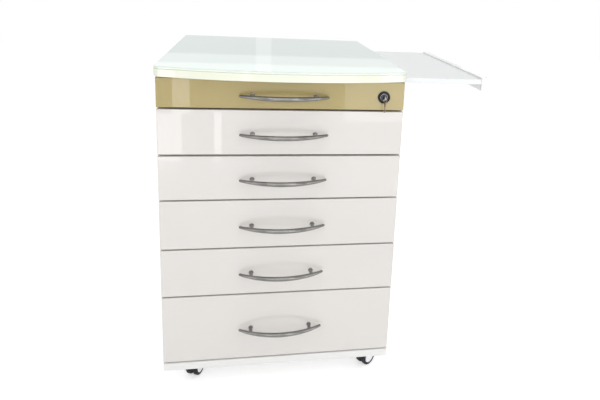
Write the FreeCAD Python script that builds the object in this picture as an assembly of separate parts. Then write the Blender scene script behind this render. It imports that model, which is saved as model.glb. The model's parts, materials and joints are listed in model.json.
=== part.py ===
import FreeCAD, Part
import math
import os
from FreeCAD import Vector

# Mobile dental cabinet: six drawers, bow-fronted worktop, pull-out side tray, four casters.
# Millimetres.  The origin is on the floor under the middle of the carcass,
# +Z up, drawer fronts face -Y, the side tray slides out towards +X.

# ---------------------------------------------------------------- driving sizes

# carcass
cabinet_width = 500.0
cabinet_depth = 600.0            # faces of the drawer fronts to the back of the carcass
cabinet_height = 723.0           # floor to the top of the worktop's glass
panel = 18.0                     # thickness of the carcass boards
arris = 1.0                      # small bevel along the edges of boards and glass

# drawer fronts
front_board = 18.0
front_gap = 3.0                  # joint between two fronts
front_relief = 2.0               # air between a front and the edges of the carcass
top_front_height = 60.0
front_shares = (94.0, 94.0, 106.0, 106.0, 155.0)     # how the others share the rest, from the top down

# drawer boxes
box_board = 12.0
box_base = 5.0                   # thickness of the drawer bottom
box_depth = 480.0
box_lift = 12.0                  # lower edge of a box above the lower edge of its front
box_top_margin = 20.0            # upper edge of a box below the upper edge of its front
base_lift = 8.0                  # drawer bottom above the lower edge of the box
groove_depth = 6.0
groove_clearance = 0.2
shallow_box_lift = 4.0           # the top box is low, to pass under the side tray
shallow_box_height = 26.0
shallow_base_lift = 4.0

# telescopic runners
runner_length = 450.0
runner_thickness = 12.7
runner_height = 45.0
shallow_runner_height = 27.0
runner_sheet = 1.2
runner_bend = 1.0                # bevel that the bends leave along the web
race_gap = 2.8                   # room for the balls between two members
cabinet_member_depth = 9.0       # reach of the flanges from the side panel
cabinet_member_lip = 3.5
middle_member_offset = 2.8       # web of the intermediate member from the side panel
middle_member_depth = 8.3
middle_member_lip = 2.8
drawer_member_depth = 7.5
drawer_member_lip = 1.8
running_gap = 0.3                # air between a ball retainer and the member that slides on it
retainer_length = 300.0
retainer_width = 3.4
retainer_offset = 0.6            # retainer from the web or lip that it runs along

# worktop
worktop_gap = 2.0                # air between the top front and the worktop
worktop_board = 15.0
edging = 2.0
glass = 5.0
glass_inset = 0.6
side_overhang = 4.0
back_overhang = 20.0
bow_overhang = 42.0              # overhang of the bow at the middle
corner_overhang = 4.0            # overhang of the bow at the sides
worktop_corner = 20.0

# bow handles
post_spacing = 128.0
handle_length = 180.0
bow_reach = 36.0                 # centre of the bar from the front, at the middle
tip_reach = 7.0                  # centre of the bar from the front, at the tips
bar_radius = 5.0
bar_tip_radius = 3.2
bar_sides = 12                   # flats around the bar
post_sides = 8                   # flats around a post
bar_spans = 8                    # straight spans of the bar, laid along its arc
handle_below_centre = 3.0        # handle below the middle of its front
post_radius = 3.8

# side tray
tray_thickness = 12.0
tray_length = 420.0
tray_travel = 205.0
tray_front_setback = 87.0        # front edge of the tray behind the drawer faces
guide_wall = 1.5
guide_depth = 14.0
guide_clearance = 0.3
fascia_thickness = 16.0
fascia_height = 31.0
fascia_below_worktop = 1.0
fascia_gap = 0.5                 # air between the closed fascia and the side panel
fascia_end = 2.0                 # the fascia is longer than the tray by this at its front end
tray_below_fascia_top = 4.0
stop_width = 15.0
stop_height = 9.0
stop_length = 300.0
stop_gap = 0.4
rail_height = 23.0

# lock of the top drawer
lock_from_side = 44.0            # axis of the lock from the right side of the cabinet
lock_below_centre = 2.0          # axis of the lock below the middle of the top front
barrel_radius = 9.5
barrel_clearance = 0.2
bezel_radius = 13.0
bezel_thickness = 3.0
nut_sides = 6                    # flats of the nut and of the cam's screw
nut_thickness = 3.0
nut_radius = 12.0
plug_radius = 6.0
plug_fit = 0.05
plug_proud = 0.6
cam_thickness = 2.0
cam_length = 27.0
cam_width = 12.0
cam_square = 7.2
cam_screw_radius = 5.0
cam_screw_head = 2.2
lock_sides = 28                  # flats around the bezel and the barrel
striker_sheet = 2.0
striker_width = 46.0
striker_leg = 16.0
striker_drop = 20.0
striker_gap = 1.0
relief_margin = 1.0              # air around the sweep of the nut and the cam in the top box

# keys
key_thickness = 2.0
key_blade_width = 5.0
key_blade_length = 13.5
key_inserted = 11.0
key_bow_length = 11.0
key_bow_width = 10.0
key_hole_radius = 2.0
key_hole_from_end = 3.1
key_point = 1.5                  # bevel at the end of the blade
key_notches = 3
key_notch_pitch = 2.8
key_notch_depth = 0.9
key_notch_half = 1.2
keyway_clearance = 0.1
ring_radius = 3.4                # to the middle of the wire
ring_wire = 1.1                  # thickness of the flat double wire, both ways
ring_seat = 0.45

# casters
caster_height = 50.0
caster_inset_x = 54.0
caster_inset_front = 40.0
caster_inset_back = 60.0
caster_plate = 2.5
caster_plate_size = 42.0
wheel_radius = 20.0
wheel_width = 10.0
wheel_sides = 34                 # flats around a wheel and its hood, with a corner on the floor
wheel_side_gap = 0.6             # between a wheel and the web of the hood
hood_web = 6.0
hood_wall = 1.8
hood_clearance = 1.0
web_below_axle = 7.0             # the web between the wheels ends this far below the axle
axle_radius = 3.0
axle_fit = 0.05
caster_trail = 19.0
kingpin_radius = 4.0
kingpin_length = 11.0
kingpin_fit = 0.06
neck_half_width = 7.0
neck_floor = 3.0                 # neck of the hood below the end of the kingpin
swivel_gap = 0.3
caster_headings = (66.0, 38.0, 20.0, 150.0)      # front left, front right, back left, back right

# ---------------------------------------------------------------- derived places

side_x = cabinet_width / 2
inner_x = side_x - panel
face_y = -cabinet_depth / 2
front_back_y = face_y + front_board
carcass_y = front_back_y + front_relief
back_y = cabinet_depth / 2
back_inner_y = back_y - panel
base_top_z = caster_height + panel

glass_z = cabinet_height - glass
worktop_z = glass_z - worktop_board

level = worktop_z - worktop_gap
shared_height = level - top_front_height - base_top_z - front_gap * (len(front_shares) + 1)
front_heights = [top_front_height]
front_heights += [shared_height * share / sum(front_shares) for share in front_shares]
front_bottoms = []
for height in front_heights:
    front_bottoms.append(level - height)
    level -= height + front_gap

box_half_width = inner_x - runner_thickness
top_front_centre_z = front_bottoms[0] + front_heights[0] / 2
lock_x = side_x - lock_from_side
lock_z = top_front_centre_z - lock_below_centre

fascia_top_z = worktop_z - fascia_below_worktop
tray_top_z = fascia_top_z - tray_below_fascia_top
tray_bottom_z = tray_top_z - tray_thickness
guide_bottom_z = tray_bottom_z - guide_clearance - guide_wall
tray_front_y = face_y + tray_front_setback
tray_back_y = back_inner_y - guide_wall - guide_clearance
rail_y = tray_front_y - guide_clearance - guide_wall - panel
fascia_x = side_x + fascia_gap + tray_travel      # inner face of the fascia, tray pulled out

lock_barrel_end_y = front_back_y + nut_thickness + striker_gap
cam_y = lock_barrel_end_y + running_gap
handle_rise = bow_reach - tip_reach
handle_half = handle_length / 2
bow_radius = (handle_half * handle_half + handle_rise * handle_rise) / (2 * handle_rise)


def save(shape, node):
    """Write one node to its own STEP file."""
    shape.exportStep("parts/" + node + ".step")


def box(x0, x1, y0, y1, z0, z1):
    """Return a block between two corners."""
    return Part.makeBox(x1 - x0, y1 - y0, z1 - z0, Vector(x0, y0, z0))


def rod(radius, start, end):
    """Return a cylinder between two points."""
    line = end - start
    return Part.makeCylinder(radius, line.Length, start, line)


def drum(radius, start, length, sides):
    """Return a round form with flat sides that runs along +Y from its start."""
    outline = flats_around(start, radius, Vector(1, 0, 0), Vector(0, 0, 1), sides)
    return Part.Face(outline).extrude(Vector(0, length, 0))


def flats_around(centre, radius, across, up, sides):
    """Return the closed outline of a section with flat sides around its centre, flat side up."""
    corners = []
    for side in range(sides + 1):
        turn = 2 * math.pi * (side + 0.5) / sides
        corners.append(centre + across * (radius * math.cos(turn)) + up * (radius * math.sin(turn)))
    return Part.makePolygon(corners)


def bevel_where(shape, size, test):
    """Return the shape with the edges that pass the test bevelled."""
    return shape.makeChamfer(size, [edge for edge in shape.Edges if test(edge)])


def lies_at(edge, axis, value):
    """Tell whether a whole edge lies in the plane axis = value."""
    bounds = edge.BoundBox
    low = getattr(bounds, axis + "Min")
    high = getattr(bounds, axis + "Max")
    return abs(low - value) < 0.01 and abs(high - value) < 0.01


def closed_wire(segments):
    """Return a wire from edges in order."""
    return Part.Wire(Part.__sortEdges__(segments))


def polygon_face(points):
    """Return a face from corner points."""
    return Part.Face(Part.makePolygon(points + [points[0]]))


# ---------------------------------------------------------------- carcass

def side_panel(sign):
    """Return a side panel; sign is -1 on the left and +1 on the right."""
    x0, x1 = sorted((sign * inner_x, sign * side_x))
    board = box(x0, x1, carcass_y, back_y, base_top_z, worktop_z)
    if sign > 0:
        slot_y0 = tray_front_y - running_gap
        slot_y1 = tray_back_y + running_gap
        board = board.cut(box(x0, x1, slot_y0, slot_y1, tray_bottom_z - running_gap, worktop_z))
    return board


def bottom_board():
    """Return the bottom board, as wide and deep as the cabinet."""
    board = box(-side_x, side_x, face_y, back_y, caster_height, base_top_z)
    return bevel_where(board, arris, lambda edge: lies_at(edge, "Y", face_y))


def make_carcass():
    """Write the fixed boards."""
    save(side_panel(-1), "side_panel_left")
    save(side_panel(1), "side_panel_right")
    save(box(-inner_x, inner_x, back_inner_y, back_y, base_top_z, worktop_z), "back_panel")
    save(bottom_board(), "bottom_board")
    rail = box(-inner_x, inner_x, rail_y, rail_y + panel, worktop_z - rail_height, worktop_z)
    save(rail, "front_rail")


# ---------------------------------------------------------------- worktop

def worktop_outline(inset, z):
    """Return the wire of the bow-fronted worktop, drawn in by inset on all sides but the back."""
    half = side_x + side_overhang - inset
    back = back_y + back_overhang
    corner_y = face_y - corner_overhang + inset
    middle_y = face_y - bow_overhang + inset
    bow = Part.Arc(Vector(-half, corner_y, z), Vector(0, middle_y, z), Vector(half, corner_y, z))
    edges = [
        bow.toShape(),
        Part.makeLine(Vector(half, corner_y, z), Vector(half, back, z)),
        Part.makeLine(Vector(half, back, z), Vector(-half, back, z)),
        Part.makeLine(Vector(-half, back, z), Vector(-half, corner_y, z)),
    ]
    return closed_wire(edges)


def worktop_slab(inset, z, thickness):
    """Return a slab of the worktop's outline with its front corners rounded."""
    slab = Part.Face(worktop_outline(inset, z)).extrude(Vector(0, 0, thickness))
    front_corners = [
        edge for edge in slab.Edges
        if edge.BoundBox.ZLength > thickness / 2 and edge.CenterOfMass.y < 0
    ]
    return slab.makeFillet(worktop_corner - inset, front_corners)


def make_worktop():
    """Write the worktop board, its edging band and the glass sheet."""
    board = worktop_slab(edging, worktop_z, worktop_board)
    band = worktop_slab(0.0, worktop_z, worktop_board).cut(board)
    sheet = worktop_slab(glass_inset, glass_z, glass)
    top = glass_z + glass
    save(board, "worktop_board")
    save(band, "worktop_edging")
    save(bevel_where(sheet, arris, lambda edge: lies_at(edge, "Z", top)), "worktop_glass")


# ---------------------------------------------------------------- telescopic runners

def channel(height, u_web, u_lip, lip, bend):
    """Return a lipped channel of runner length along +Y.

    The web stands at u_web and the flanges run to u_lip, where they turn in by lip.
    u is the distance from the side of the cabinet, drawn along X; v is drawn along Z.
    """
    way = 1.0 if u_lip > u_web else -1.0
    half = height / 2
    web_in = u_web + way * runner_sheet
    lip_in = u_lip - way * runner_sheet
    flange_in = half - runner_sheet
    upper = [
        (web_in, flange_in),
        (lip_in, flange_in),
        (lip_in, half - lip),
        (u_lip, half - lip),
        (u_lip, half),
        (u_web + way * bend, half),
        (u_web, half - bend),
    ]
    lower = [(u, -v) for u, v in reversed(upper)]
    outline = [Vector(u, 0, v) for u, v in upper + lower]
    return polygon_face(outline).extrude(Vector(0, runner_length, 0))


def runner_members(height):
    """Return the cabinet, intermediate and drawer members of one runner in the (u, v) plane."""
    step_in = 2 * (runner_sheet + race_gap)
    middle_height = height - step_in
    inner_lip_u = runner_thickness - drawer_member_depth
    middle_lip_u = middle_member_offset + middle_member_depth
    outer = channel(height, 0.0, cabinet_member_depth, cabinet_member_lip, runner_bend)
    middle = channel(middle_height, middle_member_offset, middle_lip_u, middle_member_lip, runner_bend)
    inner = channel(middle_height - step_in, runner_thickness, inner_lip_u, drawer_member_lip,
                    runner_bend)
    retainers = []
    deep = race_gap - running_gap
    for sign in (-1, 1):
        outer_v = sign * middle_height / 2
        inner_v = sign * (middle_height / 2 - runner_sheet)
        retainers.append(retainer(middle_member_offset + retainer_offset, outer_v, outer_v + sign * deep))
        retainers.append(retainer(inner_lip_u + retainer_offset, inner_v, inner_v - sign * deep))
    return outer, [middle] + retainers, inner


def retainer(u, v0, v1):
    """Return one ball retainer with its row of balls as a bar."""
    low, high = sorted((v0, v1))
    start = (runner_length - retainer_length) / 2
    return box(u, u + retainer_width, start, start + retainer_length, low, high)


def place_runner(shape, side, z):
    """Return a runner shape moved to a side of the cabinet; side is -1 left, +1 right."""
    placed = shape.copy()
    if side > 0:
        placed = placed.mirror(Vector(0, 0, 0), Vector(1, 0, 0))
    placed.translate(Vector(side * inner_x, carcass_y, z))
    return placed


# ---------------------------------------------------------------- drawers

def box_levels(index):
    """Return the lower edge, the upper edge and the base lift of a drawer box."""
    bottom = front_bottoms[index]
    if index == 0:
        low = bottom + shallow_box_lift
        return low, low + shallow_box_height, shallow_base_lift
    return bottom + box_lift, bottom + front_heights[index] - box_top_margin, base_lift


def drawer_front(index):
    """Return a drawer front; the top one has the hole of the lock."""
    bottom = front_bottoms[index]
    front = box(-side_x, side_x, face_y, front_back_y, bottom, bottom + front_heights[index])
    front = bevel_where(front, arris, lambda edge: lies_at(edge, "Y", face_y))
    if index == 0:
        front = front.cut(rod(barrel_radius + barrel_clearance, at_lock(face_y), at_lock(front_back_y)))
    return front


def drawer_box(index):
    """Return the five boards of a drawer box as separate solids."""
    low, high, lift = box_levels(index)
    y0 = front_back_y
    y1 = front_back_y + box_depth
    inside = box_half_width - box_board
    base_z = low + lift
    base = box(-inside - groove_depth, inside + groove_depth,
               y0 + box_board - groove_depth, y1 - box_board + groove_depth,
               base_z, base_z + box_base)
    groove = box(-inside - groove_depth - groove_clearance, inside + groove_depth + groove_clearance,
                 y0 + box_board - groove_depth - groove_clearance,
                 y1 - box_board + groove_depth + groove_clearance,
                 base_z, base_z + box_base + groove_clearance)
    walls = [
        box(-box_half_width, -inside, y0, y1, low, high),
        box(inside, box_half_width, y0, y1, low, high),
        box(-inside, inside, y0, y0 + box_board, low, high),
        box(-inside, inside, y1 - box_board, y1, low, high),
    ]
    cutters = [groove]
    if index == 0:
        cutters.append(lock_relief(high))
    boards = [base]
    for wall in walls:
        for cutter in cutters:
            if wall.BoundBox.intersect(cutter.BoundBox):
                wall = wall.cut(cutter)
        boards.append(wall.removeSplitter())
    return boards


def lock_relief(top):
    """Return the cutter that frees the corner of the top box for the lock and its cam."""
    sweep = nut_radius + relief_margin
    return box(lock_x - cam_length - relief_margin, box_half_width, front_back_y,
               cam_y + cam_thickness + cam_screw_head + relief_margin, lock_z - sweep, top)


def bow_station(step, z):
    """Return the centre, the radius and the heading of the bar after so many spans."""
    tip_angle = math.asin(handle_half / bow_radius)
    share = 2.0 * step / bar_spans - 1.0
    angle = share * tip_angle
    reach = bow_reach - bow_radius * (1 - math.cos(angle))
    centre = Vector(bow_radius * math.sin(angle), face_y - reach, z)
    radius = bar_radius - (bar_radius - bar_tip_radius) * share * share
    return centre, radius, angle


def handle_bar(z):
    """Return the tapered bow bar, lofted through sections along its arc."""
    sections = []
    for step in range(bar_spans + 1):
        centre, radius, angle = bow_station(step, z)
        across = Vector(-math.sin(angle), math.cos(angle), 0)
        sections.append(flats_around(centre, radius, across, Vector(0, 0, 1), bar_sides))
    return Part.makeLoft(sections, True, True)


def handle_post(x, z, bar):
    """Return one post of a handle, from the front to the bar, with a saddle for the bar."""
    post = drum(post_radius, Vector(x, face_y - bow_reach, z), bow_reach, post_sides).cut(bar)
    return max(post.Solids, key=lambda solid: solid.CenterOfMass.y)


def handle(index):
    """Return the bar and the two posts of a drawer's handle."""
    z = front_bottoms[index] + front_heights[index] / 2 - handle_below_centre
    bar = handle_bar(z)
    posts = [handle_post(x, z, bar) for x in (-post_spacing / 2, post_spacing / 2)]
    return [bar] + posts


def make_drawers():
    """Write the fronts, boxes, handles and runner members of all drawers."""
    cabinet_members = []
    for index in range(len(front_heights)):
        name = "drawer_" + str(index + 1)
        save(drawer_front(index), name + "_front")
        save(Part.makeCompound(drawer_box(index)), name + "_box")
        save(Part.makeCompound(handle(index)), name + "_handle")
        height = shallow_runner_height if index == 0 else runner_height
        low, high, _ = box_levels(index)
        z = (low + high) / 2
        outer, middle, inner = runner_members(height)
        cabinet_members += [place_runner(outer, side, z) for side in (-1, 1)]
        middles = [place_runner(solid, side, z) for side in (-1, 1) for solid in middle]
        save(Part.makeCompound(middles), name + "_runner_middle")
        inners = [place_runner(inner, side, z) for side in (-1, 1)]
        save(Part.makeCompound(inners), name + "_runner_inner")
    save(Part.makeCompound(cabinet_members), "runner_cabinet_members")


# ---------------------------------------------------------------- side tray

def tray_guide(edge_y, way):
    """Return a channel guide; way is +1 where the tray lies behind the channel's web."""
    web_y = edge_y - way * (guide_clearance + guide_wall)
    far_y = web_y + way * guide_depth
    top = tray_top_z + guide_clearance + guide_wall
    y0, y1 = sorted((web_y, far_y))
    block = box(-inner_x, inner_x, y0, y1, guide_bottom_z, top)
    c0, c1 = sorted((web_y + way * guide_wall, far_y))
    cavity = box(-inner_x, inner_x, c0, c1, tray_bottom_z - guide_clearance,
                 tray_top_z + guide_clearance)
    return block.cut(cavity)


def make_tray():
    """Write the tray board, its fascia, its stop strip and the guides in the carcass."""
    board = box(fascia_x - tray_length, fascia_x, tray_front_y, tray_back_y,
                tray_bottom_z, tray_top_z)
    fascia = box(fascia_x, fascia_x + fascia_thickness, tray_front_y - fascia_end, tray_back_y,
                 fascia_top_z - fascia_height, fascia_top_z)
    outer_x = fascia_x + fascia_thickness
    fascia = bevel_where(fascia, arris, lambda edge: lies_at(edge, "X", outer_x))
    stop_x1 = inner_x - stop_gap
    middle_y = (tray_front_y + tray_back_y) / 2
    stop = box(stop_x1 - stop_width, stop_x1, middle_y - stop_length / 2, middle_y + stop_length / 2,
               tray_bottom_z - stop_height, tray_bottom_z)
    save(board, "tray_board")
    save(fascia, "tray_fascia")
    save(stop, "tray_stop")
    guides = [tray_guide(tray_front_y, 1), tray_guide(tray_back_y, -1)]
    save(Part.makeCompound(guides), "tray_guides")


# ---------------------------------------------------------------- lock

def at_lock(y):
    """Return the point of the lock's axis at a depth."""
    return Vector(lock_x, y, lock_z)


def lock_body():
    """Return the bezel and barrel, with the ring nut as a second solid."""
    bezel_y = face_y - bezel_thickness
    bezel = drum(bezel_radius, at_lock(bezel_y), bezel_thickness, lock_sides)
    barrel = drum(barrel_radius, at_lock(face_y), lock_barrel_end_y - face_y, lock_sides)
    bore = rod(plug_radius + plug_fit, at_lock(bezel_y), at_lock(lock_barrel_end_y))
    body = bezel.fuse(barrel).cut(bore).removeSplitter()
    nut = drum(nut_radius, at_lock(front_back_y), nut_thickness, nut_sides)
    return [body, nut.cut(barrel)]


def lock_plug():
    """Return the plug that turns in the barrel, with its keyway and square tail."""
    front_y = face_y - bezel_thickness - plug_proud
    plug = rod(plug_radius, at_lock(front_y), at_lock(cam_y))
    tail = cam_square / 2
    square = box(lock_x - tail, lock_x + tail, cam_y, cam_y + cam_thickness,
                 lock_z - tail, lock_z + tail)
    half_slot = key_thickness / 2 + keyway_clearance
    half_height = key_blade_width / 2 + keyway_clearance
    keyway = box(lock_x - half_slot, lock_x + half_slot, front_y,
                 front_y + key_inserted + keyway_clearance,
                 lock_z - half_height, lock_z + half_height)
    return plug.fuse(square).cut(keyway).removeSplitter()


def lock_cam():
    """Return the cam on the plug's tail, pointing left, with its screw as a second solid."""
    half = cam_width / 2
    tip = Vector(lock_x - cam_length + half, cam_y, lock_z)
    rise = Vector(0, 0, half)
    reach = Vector(half, 0, 0)
    hub = at_lock(cam_y)
    outline = closed_wire([
        Part.Arc(tip + rise, tip - reach, tip - rise).toShape(),
        Part.makeLine(tip - rise, hub - rise),
        Part.Arc(hub - rise, hub + reach, hub + rise).toShape(),
        Part.makeLine(hub + rise, tip + rise),
    ])
    tail = cam_square / 2
    hole = box(lock_x - tail, lock_x + tail, cam_y, cam_y + cam_thickness,
               lock_z - tail, lock_z + tail)
    cam = Part.Face(outline).extrude(Vector(0, cam_thickness, 0)).cut(hole)
    screw = drum(cam_screw_radius, at_lock(cam_y + cam_thickness), cam_screw_head, nut_sides)
    return [cam, screw]


def lock_striker():
    """Return the bent striker plate under the worktop, in front of the raised cam."""
    x0 = lock_x - striker_width / 2
    x1 = lock_x + striker_width / 2
    y0 = cam_y - striker_gap - striker_sheet
    drop = box(x0, x1, y0, y0 + striker_sheet, worktop_z - striker_drop, worktop_z)
    leg = box(x0, x1, y0, y0 + striker_leg, worktop_z - striker_sheet, worktop_z)
    return drop.fuse(leg).removeSplitter()


def key_shape():
    """Return a flat key with its blade along -Z from the origin and its bow above it."""
    half = key_thickness / 2
    bow_centre = key_bow_length - key_bow_width / 2
    bow = Part.makeCylinder(key_bow_width / 2, key_thickness, Vector(-half, 0, bow_centre),
                            Vector(1, 0, 0))
    blade = box(-half, half, -key_blade_width / 2, key_blade_width / 2, -key_blade_length,
                bow_centre)
    blade = blade.makeChamfer(key_point, [
        edge for edge in blade.Edges
        if lies_at(edge, "Z", -key_blade_length) and edge.BoundBox.XLength > key_thickness / 2
    ])
    edge_y = key_blade_width / 2
    for step in range(key_notches):
        z = -key_blade_length + key_point + key_notch_half + key_notch_pitch * (step + 0.5)
        notch = polygon_face([Vector(-half, edge_y, z - key_notch_half),
                              Vector(-half, edge_y - key_notch_depth, z),
                              Vector(-half, edge_y, z + key_notch_half)])
        blade = blade.cut(notch.extrude(Vector(key_thickness, 0, 0)))
    hole_z = key_bow_length - key_hole_from_end
    hole = Part.makeCylinder(key_hole_radius, key_thickness, Vector(-half, 0, hole_z), Vector(1, 0, 0))
    return bow.fuse(blade).cut(hole).removeSplitter()


def make_lock():
    """Write the lock, its striker, the keys and the split ring."""
    save(Part.makeCompound(lock_body()), "lock_body")
    save(lock_plug(), "lock_plug")
    save(Part.makeCompound(lock_cam()), "lock_cam")
    save(lock_striker(), "lock_striker")

    shoulder_y = face_y - bezel_thickness - plug_proud - (key_blade_length - key_inserted)
    key = key_shape()
    key.rotate(Vector(0, 0, 0), Vector(1, 0, 0), 90)
    key.translate(Vector(lock_x, shoulder_y, lock_z))
    save(key, "key")

    hole_y = shoulder_y - (key_bow_length - key_hole_from_end)
    hang = key_hole_radius - ring_wire / 2 - ring_seat
    ring_z = lock_z - hang - ring_radius
    wire = ring_wire / 2
    front = Vector(lock_x, hole_y - wire, ring_z)
    back = Vector(lock_x, hole_y + wire, ring_z)
    save(rod(ring_radius + wire, front, back).cut(rod(ring_radius - wire, front, back)), "key_ring")

    spare = key_shape()
    spare_hole_z = ring_z - ring_radius - hang
    spare.translate(Vector(lock_x, hole_y, spare_hole_z - (key_bow_length - key_hole_from_end)))
    save(spare, "spare_key")


# ---------------------------------------------------------------- casters

def caster_places():
    """Return the name, place and heading of each caster."""
    front_y = face_y + caster_inset_front
    rear_y = back_y - caster_inset_back
    x = side_x - caster_inset_x
    names = ("front_left", "front_right", "back_left", "back_right")
    spots = ((-x, front_y), (x, front_y), (-x, rear_y), (x, rear_y))
    return list(zip(names, spots, caster_headings))


def caster_hood():
    """Return the hood of a caster whose kingpin is on the Z axis and whose axle trails to +X."""
    across = Vector(0, 1, 0)
    axle = Vector(caster_trail, 0, wheel_radius)
    half_web = hood_web / 2
    half = half_web + wheel_side_gap + wheel_width
    outer_radius = wheel_radius + hood_clearance + hood_wall
    top = caster_height - caster_plate - swivel_gap
    hood = drum(outer_radius, axle - across * half, 2 * half, wheel_sides)
    neck = box(-neck_half_width, axle.x, -neck_half_width, neck_half_width,
               top - kingpin_length - neck_floor, top)
    hood = hood.fuse(neck)
    x0 = axle.x - outer_radius
    x1 = axle.x + outer_radius
    z0 = wheel_radius - outer_radius
    hood = hood.cut(box(x0, x1, -half, half, z0, wheel_radius - web_below_axle))
    for sign in (-1, 1):
        y0, y1 = sorted((sign * half_web, sign * half))
        hood = hood.cut(box(x0, x1, y0, y1, z0, wheel_radius))
        hood = hood.cut(drum(wheel_radius + hood_clearance, axle + across * y0, y1 - y0, wheel_sides))
    bore = rod(axle_radius + axle_fit, axle - across * half_web, axle + across * half_web)
    socket = rod(kingpin_radius + kingpin_fit, Vector(0, 0, top - kingpin_length), Vector(0, 0, top))
    return hood.cut(bore).cut(socket).removeSplitter()


def caster_wheels():
    """Return the axle of a caster and the two wheels on its ends."""
    inner = hood_web / 2 + wheel_side_gap
    axle = Vector(caster_trail, 0, wheel_radius)
    pin = rod(axle_radius, axle - Vector(0, inner, 0), axle + Vector(0, inner, 0))
    starts = (-inner - wheel_width, inner)
    wheels = [drum(wheel_radius, axle + Vector(0, y, 0), wheel_width, wheel_sides) for y in starts]
    return Part.makeCompound([pin] + wheels)


def caster_plate_and_pin():
    """Return the mounting plate with its kingpin, centred on the Z axis."""
    half = caster_plate_size / 2
    under = caster_height - caster_plate
    plate = box(-half, half, -half, half, under, caster_height)
    pin = rod(kingpin_radius, Vector(0, 0, under - kingpin_length), Vector(0, 0, under))
    return plate.fuse(pin).removeSplitter()


def make_casters():
    """Write the hoods and wheels of the four casters and the plates that carry them."""
    plates = []
    hood = caster_hood()
    wheels = caster_wheels()
    for name, spot, heading in caster_places():
        placement = Vector(spot[0], spot[1], 0)
        for shape, node in ((hood, "_hood"), (wheels, "_wheels")):
            placed = shape.copy()
            placed.rotate(Vector(0, 0, 0), Vector(0, 0, 1), heading)
            placed.translate(placement)
            save(placed, "caster_" + name + node)
        plate = caster_plate_and_pin()
        plate.translate(placement)
        plates.append(plate)
    save(Part.makeCompound(plates), "caster_plates")


os.makedirs("parts", exist_ok=True)
make_carcass()
make_worktop()
make_drawers()
make_tray()
make_lock()
make_casters()
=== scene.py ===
"""Looks of a mobile dental cabinet with six drawers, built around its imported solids.

Metres, in the frame of the solids: the origin is on the floor under the middle of the
carcass, +Z points up, the drawer fronts face -Y and the side tray slides out towards +X.
"""

import json
import logging
import math
from dataclasses import dataclass, field
from enum import Enum
from typing import Iterable, Sequence

import bmesh
import bpy
from mathutils import Matrix, Vector

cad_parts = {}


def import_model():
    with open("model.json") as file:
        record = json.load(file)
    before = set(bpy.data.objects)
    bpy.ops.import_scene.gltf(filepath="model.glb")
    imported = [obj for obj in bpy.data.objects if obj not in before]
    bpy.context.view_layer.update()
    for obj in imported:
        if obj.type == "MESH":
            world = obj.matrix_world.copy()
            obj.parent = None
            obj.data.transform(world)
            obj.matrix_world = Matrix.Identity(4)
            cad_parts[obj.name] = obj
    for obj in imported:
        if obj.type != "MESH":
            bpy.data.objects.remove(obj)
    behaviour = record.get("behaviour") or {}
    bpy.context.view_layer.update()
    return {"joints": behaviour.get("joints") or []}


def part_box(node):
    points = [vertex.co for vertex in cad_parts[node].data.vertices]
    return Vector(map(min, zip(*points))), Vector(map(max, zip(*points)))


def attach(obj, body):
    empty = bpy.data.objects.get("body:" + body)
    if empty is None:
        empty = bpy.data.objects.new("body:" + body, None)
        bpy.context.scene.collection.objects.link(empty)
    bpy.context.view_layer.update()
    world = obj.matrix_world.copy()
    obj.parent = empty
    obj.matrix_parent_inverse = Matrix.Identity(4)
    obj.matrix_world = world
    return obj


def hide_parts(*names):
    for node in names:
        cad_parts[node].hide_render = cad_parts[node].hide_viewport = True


LOG = logging.getLogger("dental_cabinet")
DRAWERS = 6
MERGE_DISTANCE = 0.000002
FLAT_ANGLE = math.radians(0.4)
SHARP_ANGLE = math.radians(32.0)
NOISE_SPAN = (0.3, 0.7)
FINE_SEGMENTS = 2
BALL_FACETS = (8, 6)
TIP_SCALE = 0.02
LEVEL_DIGITS = 5
OUTWARD = (0.0, -1.0, 0.0)
WHITE = (1.0, 1.0, 1.0)

Outline = Sequence[tuple[float, float]]
Colour = tuple[float, float, float]
Place = tuple[float, float, float]
Stretch = tuple[float, float, float]
Form = bmesh.types.BMesh
Piece = bpy.types.Object
Socket = bpy.types.NodeSocket


class Axis(Enum):
    """Direction that an outline is drawn out along."""

    X = 0
    Y = 1
    Z = 2


class Side(Enum):
    """Side of the cabinet, or of a pair on it, such as two wheels."""

    LEFT = -1
    RIGHT = 1


class CasterPlace(Enum):
    """Corner of the cabinet that a caster stands at."""

    FRONT_LEFT = "front_left"
    FRONT_RIGHT = "front_right"
    BACK_LEFT = "back_left"
    BACK_RIGHT = "back_right"


# ---------------------------------------------------------------- finishes


@dataclass(frozen=True)
class Grain:
    """How fine a noise is: cells per metre, and octaves of finer noise in them."""

    scale: float
    detail: float


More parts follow.
